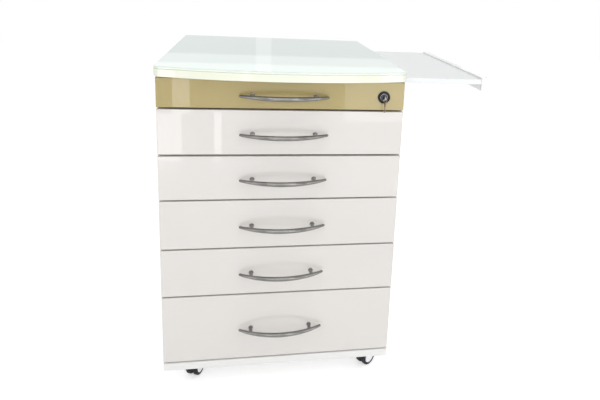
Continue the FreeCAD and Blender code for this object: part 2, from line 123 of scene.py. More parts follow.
class NodeSketch:
    """Adds nodes to a tree of shader nodes and links them."""

    def __init__(self, tree: bpy.types.NodeTree, shader: str = "Principled BSDF") -> None:
        """Keep the tree and find its shader."""
        self.tree = tree
        self.shader = tree.nodes[shader]

    def add(self, kind: str, **settings: object) -> bpy.types.Node:
        """Add a node of a kind.

        Args:
            kind: The node's type name.
            settings: Properties of the node to set.

        Returns:
            The new node.
        """
        node = self.tree.nodes.new(kind)
        for name, value in settings.items():
            setattr(node, name, value)
        return node

    def link(self, source: Socket, target: Socket) -> None:
        """Link an output to an input."""
        self.tree.links.new(source, target)

    def set(self, **values: object) -> None:
        """Set constants on the shader's own sockets; underscores stand for spaces."""
        for name, value in values.items():
            self.shader.inputs[name.replace("_", " ")].default_value = value

    def place(self, stretch: Stretch = (1.0, 1.0, 1.0)) -> Socket:
        """Read where the surface lies in the object.

        Args:
            stretch: Factors that draw the noise out, for grain or brushing.

        Returns:
            The stretched coordinates.
        """
        where = self.add("ShaderNodeTexCoord")
        mapping = self.add("ShaderNodeMapping")
        mapping.inputs["Scale"].default_value = stretch
        self.link(where.outputs["Object"], mapping.inputs["Vector"])
        return mapping.outputs["Vector"]

    def noise(self, place: Socket, grain: Grain) -> Socket:
        """Spread a noise over the surface.

        Args:
            place: Coordinates that the noise is read at.
            grain: How fine it is.

        Returns:
            The noise's value, about 0.5 on average.
        """
        node = self.add("ShaderNodeTexNoise")
        node.inputs["Scale"].default_value = grain.scale
        node.inputs["Detail"].default_value = grain.detail
        self.link(place, node.inputs["Vector"])
        return node.outputs["Fac"]

    def tint(self, value: Socket, first: Colour, second: Colour) -> None:
        """Let the surface's colour go from one to another.

        Args:
            value: Noise value that the colour goes with.
            first: Colour where the value is low.
            second: Colour where it is high.
        """
        ramp = self.add("ShaderNodeValToRGB")
        stops = zip(ramp.color_ramp.elements, NOISE_SPAN, (first, second))
        for element, position, colour in stops:
            element.position = position
            element.color = (*colour, 1.0)
        self.link(value, ramp.inputs["Fac"])
        self.link(ramp.outputs["Color"], self.shader.inputs["Base Color"])

    def roughen(self, value: Socket, low: float, high: float) -> None:
        """Let the surface's roughness vary.

        Args:
            value: Noise value that the roughness goes with.
            low: Roughness where the value is low.
            high: Roughness where it is high.
        """
        node = self.add("ShaderNodeMapRange")
        limits = zip(("From Min", "From Max", "To Min", "To Max"), (*NOISE_SPAN, low, high))
        for name, number in limits:
            node.inputs[name].default_value = number
        self.link(value, node.inputs["Value"])
        self.link(node.outputs["Result"], self.shader.inputs["Roughness"])

    def bump(self, height: Socket, depth: float) -> None:
        """Dent the surface.

        Args:
            height: Value from 0, the bottom of a dent, to 1.
            depth: Depth of the dents in metres.
        """
        node = self.add("ShaderNodeBump")
        node.inputs["Strength"].default_value = 1.0
        node.inputs["Distance"].default_value = depth
        self.link(height, node.inputs["Height"])
        self.link(node.outputs["Normal"], self.shader.inputs["Normal"])

    def seen(self) -> Socket:
        """Tell the rays of the eye, straight, mirrored or through glass, from the others.

        Returns:
            1 for such a ray and 0 for any other.
        """
        paths = self.add("ShaderNodeLightPath")
        found = paths.outputs["Is Camera Ray"]
        for ray in ("Is Glossy Ray", "Is Transmission Ray"):
            either = self.add("ShaderNodeMath", operation="MAXIMUM")
            self.link(found, either.inputs[0])
            self.link(paths.outputs[ray], either.inputs[1])
            found = either.outputs[0]
        return found


@dataclass(frozen=True)
class Finish:
    """A finish of the cabinet's surfaces."""

    name: str
    colour: Colour
    shade: Colour

    def material(self) -> bpy.types.Material:
        """Make the finish's material, the first time that it is asked for.

        Returns:
            The material.
        """
        title = "finish_" + self.name
        made = bpy.data.materials.get(title)
        if made is None:
            made = bpy.data.materials.new(title)
            made.use_nodes = True
            sketch = NodeSketch(made.node_tree)
            sketch.set(Base_Color=(*self.colour, 1.0))
            self.dress(sketch)
        return made

    def dress(self, sketch: NodeSketch) -> None:
        """Add what this kind of finish has."""


@dataclass(frozen=True)
class Lacquer(Finish):
    """Sprayed gloss lacquer under a clear coat, with a faint orange peel."""

    metal: float = 0.0
    cloud: Grain = Grain(5.0, 3.0)
    mottle: Grain = Grain(60.0, 4.0)
    undercoat_roughness: float = 0.42
    roughness_spread: float = 0.05
    coat_roughness: float = 0.015
    coat_ior: float = 1.5
    peel: Grain = Grain(420.0, 1.0)
    peel_depth: float = 0.000004

    def dress(self, sketch: NodeSketch) -> None:
        """Add the cloudy colour or the flakes, the peel and the clear coat.

        Args:
            sketch: The material's nodes.
        """
        place = sketch.place()
        sketch.tint(sketch.noise(place, self.cloud), self.shade, self.colour)
        sketch.roughen(sketch.noise(place, self.mottle),
                       self.undercoat_roughness - self.roughness_spread,
                       self.undercoat_roughness + self.roughness_spread)
        sketch.bump(sketch.noise(place, self.peel), self.peel_depth)
        sketch.set(Metallic=self.metal, Coat_Weight=1.0, Coat_Roughness=self.coat_roughness,
                   Coat_IOR=self.coat_ior)


@dataclass(frozen=True)
class BoardFoil(Finish):
    """Melamine foil on board, with a fine pearl texture."""

    cloud: Grain = Grain(9.0, 4.0)
    pearl: Grain = Grain(1500.0, 2.0)
    pearl_depth: float = 0.000012
    roughness: tuple[float, float] = (0.34, 0.46)

    def dress(self, sketch: NodeSketch) -> None:
        """Add the slight cloudiness and the pearl texture of the foil.

        Args:
            sketch: The material's nodes.
        """
        place = sketch.place()
        sketch.tint(sketch.noise(place, self.cloud), self.shade, self.colour)
        pearl = sketch.noise(place, self.pearl)
        sketch.roughen(pearl, *self.roughness)
        sketch.bump(pearl, self.pearl_depth)


@dataclass(frozen=True)
class PaintedGlass(Finish):
    """Float glass painted on its underside."""

    cloud: Grain = Grain(2.2, 2.0)
    wipes: Grain = Grain(6.0, 5.0)
    wipe_stretch: Stretch = (3.0, 14.0, 3.0)
    roughness: tuple[float, float] = (0.012, 0.05)
    ior: float = 1.52

    def dress(self, sketch: NodeSketch) -> None:
        """Add the depth of colour, faint wipe marks and the mirror gloss.

        Args:
            sketch: The material's nodes.
        """
        sketch.tint(sketch.noise(sketch.place(), self.cloud), self.shade, self.colour)
        sketch.roughen(sketch.noise(sketch.place(self.wipe_stretch), self.wipes),
                       *self.roughness)
        sketch.set(IOR=self.ior)


@dataclass(frozen=True)
class Plated(Finish):
    """Bright or satin metal plate with faint brushing."""

    roughness: float = 0.15
    unevenness: float = 0.3
    brushing: Stretch = (1.0, 1.0, 1.0)
    brush: Grain = Grain(900.0, 3.0)
    brush_depth: float = 0.000003
    tone: Grain = Grain(40.0, 3.0)

    def dress(self, sketch: NodeSketch) -> None:
        """Add the tone, the brushing and the soft unevenness of polished plate.

        Args:
            sketch: The material's nodes.
        """
        brushed = sketch.noise(sketch.place(self.brushing), self.brush)
        sketch.tint(sketch.noise(sketch.place(), self.tone), self.shade, self.colour)
        sketch.roughen(brushed, self.roughness * (1.0 - self.unevenness),
                       self.roughness * (1.0 + self.unevenness))
        sketch.bump(brushed, self.brush_depth)
        sketch.set(Metallic=1.0)


@dataclass(frozen=True)
class Moulded(Finish):
    """Moulded plastic or enamel with a fine grain."""

    roughness: float = 0.4
    polished: float = 0.06
    dulled: float = 0.08
    wear: Grain = Grain(70.0, 4.0)
    grain: Grain = Grain(1200.0, 2.0)
    grain_depth: float = 0.00002
    ior: float = 1.33

    def dress(self, sketch: NodeSketch) -> None:
        """Add the slight greying and the grain.

        Args:
            sketch: The material's nodes.
        """
        place = sketch.place()
        worn = sketch.noise(place, self.wear)
        sketch.tint(worn, self.colour, self.shade)
        sketch.roughen(worn, self.roughness - self.polished, self.roughness + self.dulled)
        sketch.bump(sketch.noise(place, self.grain), self.grain_depth)
        sketch.set(IOR=self.ior)


WHITE_LACQUER = Lacquer("white_lacquer", (0.75, 0.72, 0.69), (0.725, 0.695, 0.67))
GOLD_LACQUER = Lacquer("gold_lacquer", (0.41, 0.327, 0.133), (0.366, 0.288, 0.11), metal=0.25,
                       cloud=Grain(1600.0, 2.0))
FASCIA_LACQUER = Lacquer("fascia_lacquer", (0.93, 0.925, 0.915), (0.91, 0.905, 0.895))
EDGE_BAND = Lacquer("edge_band", (0.89, 0.91, 0.77), (0.87, 0.89, 0.74))
CARCASS_FOIL = BoardFoil("carcass_foil", (0.86, 0.86, 0.845), (0.84, 0.84, 0.825))
TRAY_FOIL = BoardFoil("tray_foil", (0.905, 0.93, 0.93), (0.885, 0.91, 0.915))
DRAWER_FOIL = BoardFoil("drawer_foil", (0.80, 0.79, 0.77), (0.77, 0.76, 0.74))
WORKTOP_GLASS = PaintedGlass("worktop_glass", (0.71, 0.85, 0.78), (0.64, 0.79, 0.72))
# Paler than the worktop glass: painted sheen on the sheet's upright edge, in place of reflected
# light.
GLASS_EDGE_SHEEN = PaintedGlass("glass_edge", (0.88, 0.93, 0.84), (0.84, 0.90, 0.80))
HANDLE_NICKEL = Plated("handle_nickel", (0.235, 0.23, 0.22), (0.185, 0.18, 0.17),
                       roughness=0.08, brushing=(1.0, 12.0, 12.0))
RUNNER_ZINC = Plated("runner_zinc", (0.66, 0.68, 0.70), (0.55, 0.57, 0.60), roughness=0.32,
                     brushing=(12.0, 1.0, 12.0))
BALL_STEEL = Plated("ball_steel", (0.80, 0.80, 0.81), (0.74, 0.74, 0.76), roughness=0.08)
GUIDE_ALUMINIUM = Plated("guide_aluminium", (0.82, 0.83, 0.84), (0.76, 0.77, 0.79),
                         roughness=0.34, brushing=(1.0, 14.0, 14.0))
CHROME = Plated("chrome", (0.80, 0.81, 0.83), (0.74, 0.75, 0.77), roughness=0.09)
LOCK_STEEL = Plated("lock_steel", (0.66, 0.64, 0.67), (0.52, 0.505, 0.53), roughness=0.18)
PLUG_STEEL = Plated("plug_steel", (0.10, 0.10, 0.11), (0.05, 0.05, 0.055), roughness=0.25)
KEY_NICKEL = Plated("key_nickel", (0.48, 0.46, 0.41), (0.36, 0.34, 0.29), roughness=0.2)
KEY_BRASS = Plated("key_brass", (0.26, 0.21, 0.14), (0.17, 0.135, 0.09), roughness=0.30)
LOCK_BLACK = Moulded("lock_black", (0.004, 0.004, 0.005), (0.012, 0.012, 0.014), roughness=0.28)
WHEEL_NYLON = Moulded("wheel_nylon", (0.008, 0.008, 0.009), (0.025, 0.024, 0.023),
                      roughness=0.5)
HOOD_BLACK = Moulded("hood_black", (0.006, 0.006, 0.007), (0.018, 0.018, 0.019), roughness=0.35)


# ---------------------------------------------------------------- meshes


def prism(outline: Outline, axis: Axis, start: float, end: float) -> Form:
    """Draw an outline out into a closed solid.

    Args:
        outline: Corners in the two coordinates other than the axis, in X, Y, Z order.
        axis: Direction of the drawing out.
        start: Coordinate along the axis where the solid starts.
        end: Coordinate along the axis where it ends.

    Returns:
        The solid, faces outwards.
    """
    solid = bmesh.new()
    rings = []
    for level in (start, end):
        ring = []
        for corner in outline:
            place = list(corner)
            place.insert(axis.value, level)
            ring.append(solid.verts.new(place))
        rings.append(ring)
    skin(solid, rings)
    solid.faces.new(rings[0])
    solid.faces.new(rings[1])
    bmesh.ops.recalc_face_normals(solid, faces=solid.faces)
    return solid


def skin(form: Form, rings: Sequence[Sequence[bmesh.types.BMVert]]) -> None:
    """Join each ring of vertices to the next with faces.

    Args:
        form: The form that the rings belong to.
        rings: Closed rings of the same count; one with a single vertex is a pole.
    """
    count = max(len(ring) for ring in rings)
    for first, second in zip(rings, rings[1:]):
        for step in range(count):
            after = (step + 1) % count
            corners = (first[step % len(first)], first[after % len(first)],
                       second[after % len(second)], second[step % len(second)])
            unique = list(dict.fromkeys(corners))
            if len(unique) > 2:
                form.faces.new(unique)


def block(low: Sequence[float], high: Sequence[float]) -> Form:
    """Return a box between two corners."""
    outline = [(low[0], low[1]), (high[0], low[1]), (high[0], high[1]), (low[0], high[1])]
    return prism(outline, Axis.Z, low[2], high[2])


def lathe(profile: Outline, segments: int) -> Form:
    """Turn a profile about the Z axis.

    Args:
        profile: (radius, height) corners; a radius of 0 closes the form on the axis.
        segments: Facets around the axis.

    Returns:
        The turned form, faces outwards.
    """
    turned = bmesh.new()
    rings = []
    for radius, height in profile:
        if radius <= 0.0:
            rings.append([turned.verts.new((0.0, 0.0, height))])
            continue
        ring = []
        for step in range(segments):
            angle = 2.0 * math.pi * step / segments
            ring.append(turned.verts.new((radius * math.cos(angle), radius * math.sin(angle),
                                          height)))
        rings.append(ring)
    skin(turned, rings)
    bmesh.ops.recalc_face_normals(turned, faces=turned.faces)
    return turned


def quarter_turn(steps: int, first: int = 0) -> list[tuple[float, float]]:
    """Return the sine and cosine of equal steps through a right angle."""
    angles = [math.pi / 2 * step / steps for step in range(first, steps + 1)]
    return [(math.sin(angle), math.cos(angle)) for angle in angles]


def towards(direction: Sequence[float], place: Sequence[float]) -> Matrix:
    """Return the transform that lays a turned form's Z axis along a direction at a place."""
    turn = Vector(direction).to_track_quat("Z", "Y").to_matrix().to_4x4()
    return Matrix.Translation(Vector(place)) @ turn


def looking(place: Place, right: Vector, up: Vector, forward: Vector) -> Matrix:
    """Return the transform of a lamp or camera at a place, from its three directions."""
    turn = Matrix((right, up, -forward)).transposed().to_4x4()
    return Matrix.Translation(Vector(place)) @ turn


def show(name: str, data: bpy.types.ID) -> bpy.types.Object:
    """Put an object with some data into the scene.

    Args:
        name: The object's name.
        data: Its mesh, light or camera.

    Returns:
        The object.
    """
    made = bpy.data.objects.new(name, data)
    bpy.context.scene.collection.objects.link(made)
    return made


def to_mesh(name: str, form: Form) -> bpy.types.Mesh:
    """Turn a form into a mesh.

    Args:
        name: The mesh's name.
        form: The form, which is freed.

    Returns:
        The mesh.
    """
    mesh = bpy.data.meshes.new(name)
    form.to_mesh(mesh)
    form.free()
    return mesh


def joined(parts: Iterable[Form]) -> Form:
    """Join forms.

    Args:
        parts: The forms, which are freed.

    Returns:
        One form that holds them all.
    """
    whole = bmesh.new()
    for part in parts:
        mesh = to_mesh("part", part)
        whole.from_mesh(mesh)
        bpy.data.meshes.remove(mesh)
    return whole


def solid_copy(node: str) -> Form:
    """Copy a solid's mesh and merge its triangles into whole faces.

    Args:
        node: The solid's name.

    Returns:
        The copy.
    """
    copy = bmesh.new()
    copy.from_mesh(bpy.data.objects[node].data)
    bmesh.ops.remove_doubles(copy, verts=copy.verts, dist=MERGE_DISTANCE)
    bmesh.ops.dissolve_limit(copy, angle_limit=FLAT_ANGLE, verts=copy.verts, edges=copy.edges)
    return copy


def islands(form: Form) -> list[list[bmesh.types.BMVert]]:
    """Find the separate solids in a form.

    Args:
        form: The form to search.

    Returns:
        The vertices of each solid.
    """
    seen: set[bmesh.types.BMVert] = set()
    found = []
    for start in form.verts:
        if start in seen:
            continue
        group = []
        queue = [start]
        seen.add(start)
        while queue:
            vertex = queue.pop()
            group.append(vertex)
            for edge in vertex.link_edges:
                other = edge.other_vert(vertex)
                if other not in seen:
                    seen.add(other)
                    queue.append(other)
        found.append(group)
    return found


def corners_of(group: Sequence[bmesh.types.BMVert]) -> tuple[Vector, Vector]:
    """Find the box round some vertices.

    Args:
        group: The vertices.

    Returns:
        Its lowest and its highest corner.
    """
    low = Vector(min(vertex.co[axis] for vertex in group) for axis in range(3))
    high = Vector(max(vertex.co[axis] for vertex in group) for axis in range(3))
    return low, high


@dataclass
class Edge:
    """How the edges of a piece are eased."""

    width: float
    segments: int = 3
    angle: float = math.radians(30.0)


def publish(name: str, form: Form, finish: Finish, body: str,
            edge: Edge | None = None, stands_for: Sequence[str] = ()) -> Piece:
    """Make a piece of the cabinet from a form and let it ride on a body.

    Args:
        name: The piece's name.
        form: Its shape in place, which is freed.
        finish: Its finish.
        body: The moving body that it rides on.
        edge: How its sharp edges are eased, if they are.
        stands_for: The solids that it is shown instead of.

    Returns:
        The finished piece, as a plain mesh.
    """
    mesh = to_mesh(name, form)
    loaded_normals = mesh.attributes.get("custom_normal")
    if loaded_normals is not None:
        mesh.attributes.remove(loaded_normals)
    mesh.materials.append(finish.material())
    mesh.shade_smooth()
    piece = show(name, mesh)
    if edge is None:
        mesh.set_sharp_from_angle(angle=SHARP_ANGLE)
    else:
        ease(piece, edge)
    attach(piece, body)
    if stands_for:
        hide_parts(*stands_for)
    LOG.info("%s rides on %s", name, body)
    return piece


def ease(piece: Piece, edge: Edge) -> None:
    """Ease the sharp edges of a piece and leave it a plain mesh.

    Args:
        piece: The piece.
        edge: How its edges are eased.
    """
    bevel = piece.modifiers.new("eased", "BEVEL")
    bevel.width = edge.width
    bevel.segments = edge.segments
    bevel.limit_method = "ANGLE"
    bevel.angle_limit = edge.angle
    bevel.harden_normals = True
    graph = bpy.context.evaluated_depsgraph_get()
    mesh = bpy.data.meshes.new_from_object(piece.evaluated_get(graph),
                                           preserve_all_data_layers=True, depsgraph=graph)
    piece.modifiers.clear()
    piece.data = mesh


def redress(name: str, node: str, finish: Finish, body: str, edge: Edge) -> None:
    """Show a solid's own shape with its edges eased, as a piece of its own.

    Args:
        name: The piece's name.
        node: The solid that it copies and stands for.
        finish: Its finish.
        body: The moving body that it rides on.
        edge: How its sharp edges are eased.
    """
    publish(name, solid_copy(node), finish, body, edge, (node,))


def dress_solid(node: str, finish: Finish) -> None:
    """Give a solid that stays in view its finish.

    Args:
        node: The solid's name.
        finish: Its finish.
    """
    materials = bpy.data.objects[node].data.materials
    materials.clear()
    materials.append(finish.material())


# ---------------------------------------------------------------- geometry trees


class TreeSketch:
    """Builds a geometry tree with named inputs and turns it into meshes."""

    def __init__(self, name: str) -> None:
        """Start a tree with one geometry input and one geometry output.

        Args:
            name: The tree's name.
        """
        self.tree = bpy.data.node_groups.new(name, "GeometryNodeTree")
        self.sockets: dict[str, str] = {}
        for direction in ("INPUT", "OUTPUT"):
            self.tree.interface.new_socket(name="Geometry", in_out=direction,
                                           socket_type="NodeSocketGeometry")
        self.source = self.tree.nodes.new("NodeGroupInput")
        self.sink = self.tree.nodes.new("NodeGroupOutput")

    def input(self, name: str, kind: str) -> Socket:
        """Add a named input.

        Args:
            name: The input's name.
            kind: Its kind, such as Float.

        Returns:
            Its socket inside the tree.
        """
        made = self.tree.interface.new_socket(name=name, in_out="INPUT",
                                              socket_type="NodeSocket" + kind)
        self.sockets[name] = made.identifier
        return self.source.outputs[name]

    def add(self, kind: str, inputs: dict[str, object] | None = None,
            **settings: object) -> bpy.types.Node:
        """Add a node.

        Args:
            kind: The node's type name.
            inputs: Values or sockets for its inputs, by name or place.
            settings: Properties of the node to set.

        Returns:
            The new node.
        """
        node = self.tree.nodes.new(kind)
        for name, value in settings.items():
            setattr(node, name, value)
        for name, value in (inputs or {}).items():
            if isinstance(value, Socket):
                self.tree.links.new(value, node.inputs[name])
            else:
                node.inputs[name].default_value = value
        return node

    def math(self, operation: str, *values: object) -> Socket:
        """Return the result of a calculation on values or sockets."""
        inputs = dict(enumerate(values))
        return self.add("ShaderNodeMath", inputs, operation=operation).outputs[0]

    def finish(self, geometry: Socket) -> None:
        """Close the tree: real geometry in the material of its Material input.

        Args:
            geometry: What the tree has made.
        """
        real = self.add("GeometryNodeRealizeInstances", {"Geometry": geometry})
        smooth = self.add("GeometryNodeSetShadeSmooth", {"Geometry": real.outputs[0]})
        material = self.input("Material", "Material")
        coated = self.add("GeometryNodeSetMaterial",
                          {"Geometry": smooth.outputs[0], "Material": material})
        self.tree.links.new(coated.outputs[0], self.sink.inputs[0])

    def grow(self, seed: bpy.types.Mesh, values: dict[str, object]) -> Form:
        """Run the tree on a seed mesh.

        Args:
            seed: Mesh that the tree starts from, which is removed.
            values: The tree's inputs by name.

        Returns:
            The grown form.
        """
        carrier = bpy.data.objects.new("carrier", seed)
        modifier = carrier.modifiers.new("grow", "NODES")
        modifier.node_group = self.tree
        for title, value in values.items():
            modifier[self.sockets[title]] = value
        bpy.context.scene.collection.objects.link(carrier)
        graph = bpy.context.evaluated_depsgraph_get()
        mesh = bpy.data.meshes.new_from_object(carrier.evaluated_get(graph), depsgraph=graph)
        grown = bmesh.new()
        grown.from_mesh(mesh)
        bpy.data.objects.remove(carrier)
        bpy.data.meshes.remove(seed)
        bpy.data.meshes.remove(mesh)
        return grown


def bow_tree() -> TreeSketch:
    """Build the tree of a tapered bow bar with rounded tips, laid along an arc.

    Returns:
        The tree.
    """
    sketch = TreeSketch("bow_bar")
    radius = sketch.input("Arc radius", "Float")
    half_angle = sketch.input("Half angle", "Float")
    middle = sketch.input("Middle radius", "Float")
    tip = sketch.input("Tip radius", "Float")
    place = sketch.input("Arc centre", "Vector")
    rings = sketch.input("Rings", "Int")
    sides = sketch.input("Sides", "Int")
    start = sketch.math("SUBTRACT", -math.pi / 2, half_angle)
    sweep = sketch.math("MULTIPLY", half_angle, 2.0)
    arc = sketch.add("GeometryNodeCurveArc", {"Resolution": rings, "Radius": radius,
                                              "Start Angle": start, "Sweep Angle": sweep},
                     mode="RADIUS")
    along = sketch.add("GeometryNodeSplineParameter").outputs["Factor"]
    share = sketch.math("ABSOLUTE", sketch.math("MULTIPLY_ADD", along, 2.0, -1.0))
    loss = sketch.math("MULTIPLY", sketch.math("SUBTRACT", middle, tip),
                       sketch.math("MULTIPLY", share, share))
    taper = sketch.math("SUBTRACT", middle, loss)
    left = sketch.math("MULTIPLY", sketch.math("SUBTRACT", 1.0, share), half_angle)
    to_tip = sketch.math("MULTIPLY", left, radius)
    near = sketch.math("MINIMUM", sketch.math("DIVIDE", to_tip, tip), 1.0)
    dome = sketch.math("SQRT", sketch.math("MULTIPLY", near,
                                           sketch.math("SUBTRACT", 2.0, near)))
    scale = sketch.math("MULTIPLY", taper, sketch.math("MAXIMUM", dome, TIP_SCALE))
    section = sketch.add("GeometryNodeCurvePrimitiveCircle",
                         {"Resolution": sides, "Radius": 1.0}, mode="RADIUS")
    bar = sketch.add("GeometryNodeCurveToMesh", {"Curve": arc.outputs["Curve"],
                                                 "Profile Curve": section.outputs["Curve"],
                                                 "Scale": scale, "Fill Caps": True})
    moved = sketch.add("GeometryNodeTransform", {"Geometry": bar.outputs[0],
                                                 "Translation": place})
    sketch.finish(moved.outputs[0])
    return sketch


def row_tree() -> TreeSketch:
    """Build the tree that sets a row of copies of a template out from each seed point.

    Returns:
        The tree.
    """
    sketch = TreeSketch("rows")
    template = sketch.input("Template", "Object")
    count = sketch.input("Count", "Int")
    pitch = sketch.input("Pitch", "Vector")
    turn = sketch.input("Turn", "Rotation")
    line = sketch.add("GeometryNodeMeshLine", {"Count": count, "Offset": pitch}, mode="OFFSET")
    rows = sketch.add("GeometryNodeInstanceOnPoints",
                      {"Points": sketch.source.outputs["Geometry"],
                       "Instance": line.outputs["Mesh"]})
    points = sketch.add("GeometryNodeRealizeInstances", {"Geometry": rows.outputs[0]})
    shape = sketch.add("GeometryNodeObjectInfo", {"Object": template, "As Instance": True})
    copies = sketch.add("GeometryNodeInstanceOnPoints", {"Points": points.outputs[0],
                                                         "Instance": shape.outputs["Geometry"],
                                                         "Rotation": turn})
    sketch.finish(copies.outputs[0])
    return sketch


@dataclass
class Rows:
    """Sets out rows of a small repeated shape."""

    tree: TreeSketch = field(default_factory=row_tree)

    def set_out(self, template: Form, seeds: Sequence[Vector], finish: Finish,
                count: int = 1, pitch: Sequence[float] = (0.0, 0.0, 0.0),
                facing: Sequence[float] = (0.0, 0.0, 1.0)) -> Form:
        """Set rows of a shape out.

        Args:
            template: The shape, about the origin and facing +Z; it is freed.
            seeds: Where each row starts.
            finish: The finish of the copies.
            count: Copies in each row.
            pitch: Step from one copy to the next.
            facing: Direction that the copies' Z axis points.

        Returns:
            All the copies as one form.
        """
        mesh = to_mesh("template", template)
        shape = show("template", mesh)
        points = bpy.data.meshes.new("seeds")
        points.from_pydata([tuple(seed) for seed in seeds], [], [])
        turn = Vector(facing).to_track_quat("Z", "Y").to_euler()
        grown = self.tree.grow(points, {
            "Template": shape, "Count": count, "Pitch": tuple(pitch), "Turn": tuple(turn),
            "Material": finish.material()})
        bpy.data.objects.remove(shape)
        bpy.data.meshes.remove(mesh)
        return grown


@dataclass(frozen=True)
class PanHead:
    """A screw's pan head with a cross recess; all but the sizes are shares of them."""

    radius: float
    height: float
    sides: int = 20
    rim: float = 0.55
    shoulder: float = 0.86
    crown: float = 0.5
    arm: float = 0.62
    slot: float = 0.13
    recess: tuple[float, float] = (0.98, 1.02)

    def form(self) -> Form:
        """Make the head, facing +Z with its seat at the origin.

        Returns:
            The head.
        """
        radius, height = self.radius, self.height
        head = lathe([(0.0, 0.0), (radius, 0.0), (radius, height * self.rim),
                      (radius * self.shoulder, height * self.shoulder),
                      (radius * self.crown, height), (0.0, height)], self.sides)
        arm = radius * self.arm
        slot = radius * self.slot
        cross = []
        for corner in range(4):
            angle = math.pi / 2 * corner
            for along, across in ((slot, slot), (arm, slot), (arm, -slot)):
                cross.append((along * math.cos(angle) + across * math.sin(angle),
                              along * math.sin(angle) - across * math.cos(angle)))
        cross.sort(key=lambda point: math.atan2(point[1], point[0]))
        bottom, top = self.recess
        return joined([head, prism(cross, Axis.Z, height * bottom, height * top)])


def ball(radius: float) -> Form:
    """Make a small ball for a runner.

    Args:
        radius: Its radius.

    Returns:
        The ball, about the origin.
    """
    form = bmesh.new()
    around, down = BALL_FACETS
    bmesh.ops.create_uvsphere(form, u_segments=around, v_segments=down, radius=radius)
    return form


# ---------------------------------------------------------------- sub-assemblies


@dataclass
class Carcass:
    """The fixed boards."""

    arris: float = 0.0012

    def build(self) -> None:
        """Ease the edges of the boards and give them their foil."""
        for node in ("side_panel_left", "side_panel_right", "bottom_board", "back_panel",
                     "front_rail"):
            redress(node + "_board", node, CARCASS_FOIL, "root",
                    Edge(self.arris))


@dataclass
class Worktop:
    """Bow-fronted worktop: board, edging band and a sheet of painted glass."""

    bow_depth: float = 0.038
    corner_radius: float = 0.020
    corner_steps: int = 14
    bow_steps: int = 96
    edging: float = 0.002
    glass_inset: float = 0.0002
    glass_edge: float = 0.0016
    glass_edge_steps: int = 4
    upright: float = 0.75
    band_edge: float = 0.0005

    def outline(self, inset: float) -> Outline:
        """Lay out the worktop: the bow from left to right, the right corner, the back, the left.

        Args:
            inset: How far the outline is drawn in at the front and the sides.

        Returns:
            The outline's corners.
        """
        low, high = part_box("worktop_edging")
        half = high.x - inset
        corner_y = low.y + self.bow_depth + inset
        middle_y = low.y + inset
        rise = corner_y - middle_y
        bow = (half * half + rise * rise) / (2.0 * rise)
        centre_y = middle_y + bow
        radius = self.corner_radius - inset
        reach = half - radius
        turn_y = centre_y - math.sqrt((bow - radius) ** 2 - reach * reach)
        start = math.asin(reach / (bow - radius))
        front = []
        for step in range(self.bow_steps + 1):
            angle = start * (2.0 * step / self.bow_steps - 1.0)
            front.append((bow * math.sin(angle), centre_y - bow * math.cos(angle)))
        corner = []
        for step in range(1, self.corner_steps + 1):
            angle = start + (math.pi / 2 - start) * step / self.corner_steps
            corner.append((reach + radius * math.sin(angle), turn_y - radius * math.cos(angle)))
        back = [(half, high.y), (-half, high.y)]
        return front + corner + back + [(-x, y) for x, y in reversed(corner)]

    def slab(self, node: str, inset: float) -> Form:
        """Return the worktop's outline drawn out to the height of one of its solids."""
        low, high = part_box(node)
        return prism(self.outline(inset), Axis.Z, low.z, high.z)

    def build(self) -> None:
        """Make the glass, the edging and the board."""
        sheet = publish("worktop_glass_sheet", self.slab("worktop_glass", self.glass_inset),
                        WORKTOP_GLASS, "root",
                        Edge(self.glass_edge, self.glass_edge_steps), ("worktop_glass",))
        self.paint_edge_sheen(sheet)
        publish("worktop_edge_band", self.band(), EDGE_BAND, "root",
                Edge(self.band_edge), ("worktop_edging",))
        publish("worktop_core", self.slab("worktop_board", self.edging), CARCASS_FOIL, "root",
                None, ("worktop_board",))

    def paint_edge_sheen(self, sheet: Piece) -> None:
        """Give the upright faces of the glass a paler colour: painted sheen, standing in for the
        light that the bare polished edge reflects.

        Args:
            sheet: The sheet of glass.
        """
        sheet.data.materials.append(GLASS_EDGE_SHEEN.material())
        # These faces get the paler colour, which is painted sheen.
        for face in sheet.data.polygons:
            if abs(face.normal.z) < self.upright:
                face.material_index = 1

    def band(self) -> Form:
        """Make the edging band that runs round the front and the sides of the board.

        Returns:
            The band.
        """
        low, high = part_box("worktop_edging")
        outer = self.outline(0.0)
        inner = self.outline(self.edging)
        count = len(outer)
        back = self.bow_steps + self.corner_steps + 1
        order = [(back + 1 + step) % count for step in range(count)]
        strip = [outer[index] for index in order]
        strip += [inner[index] for index in reversed(order)]
        return prism(strip, Axis.Z, low.z, high.z)


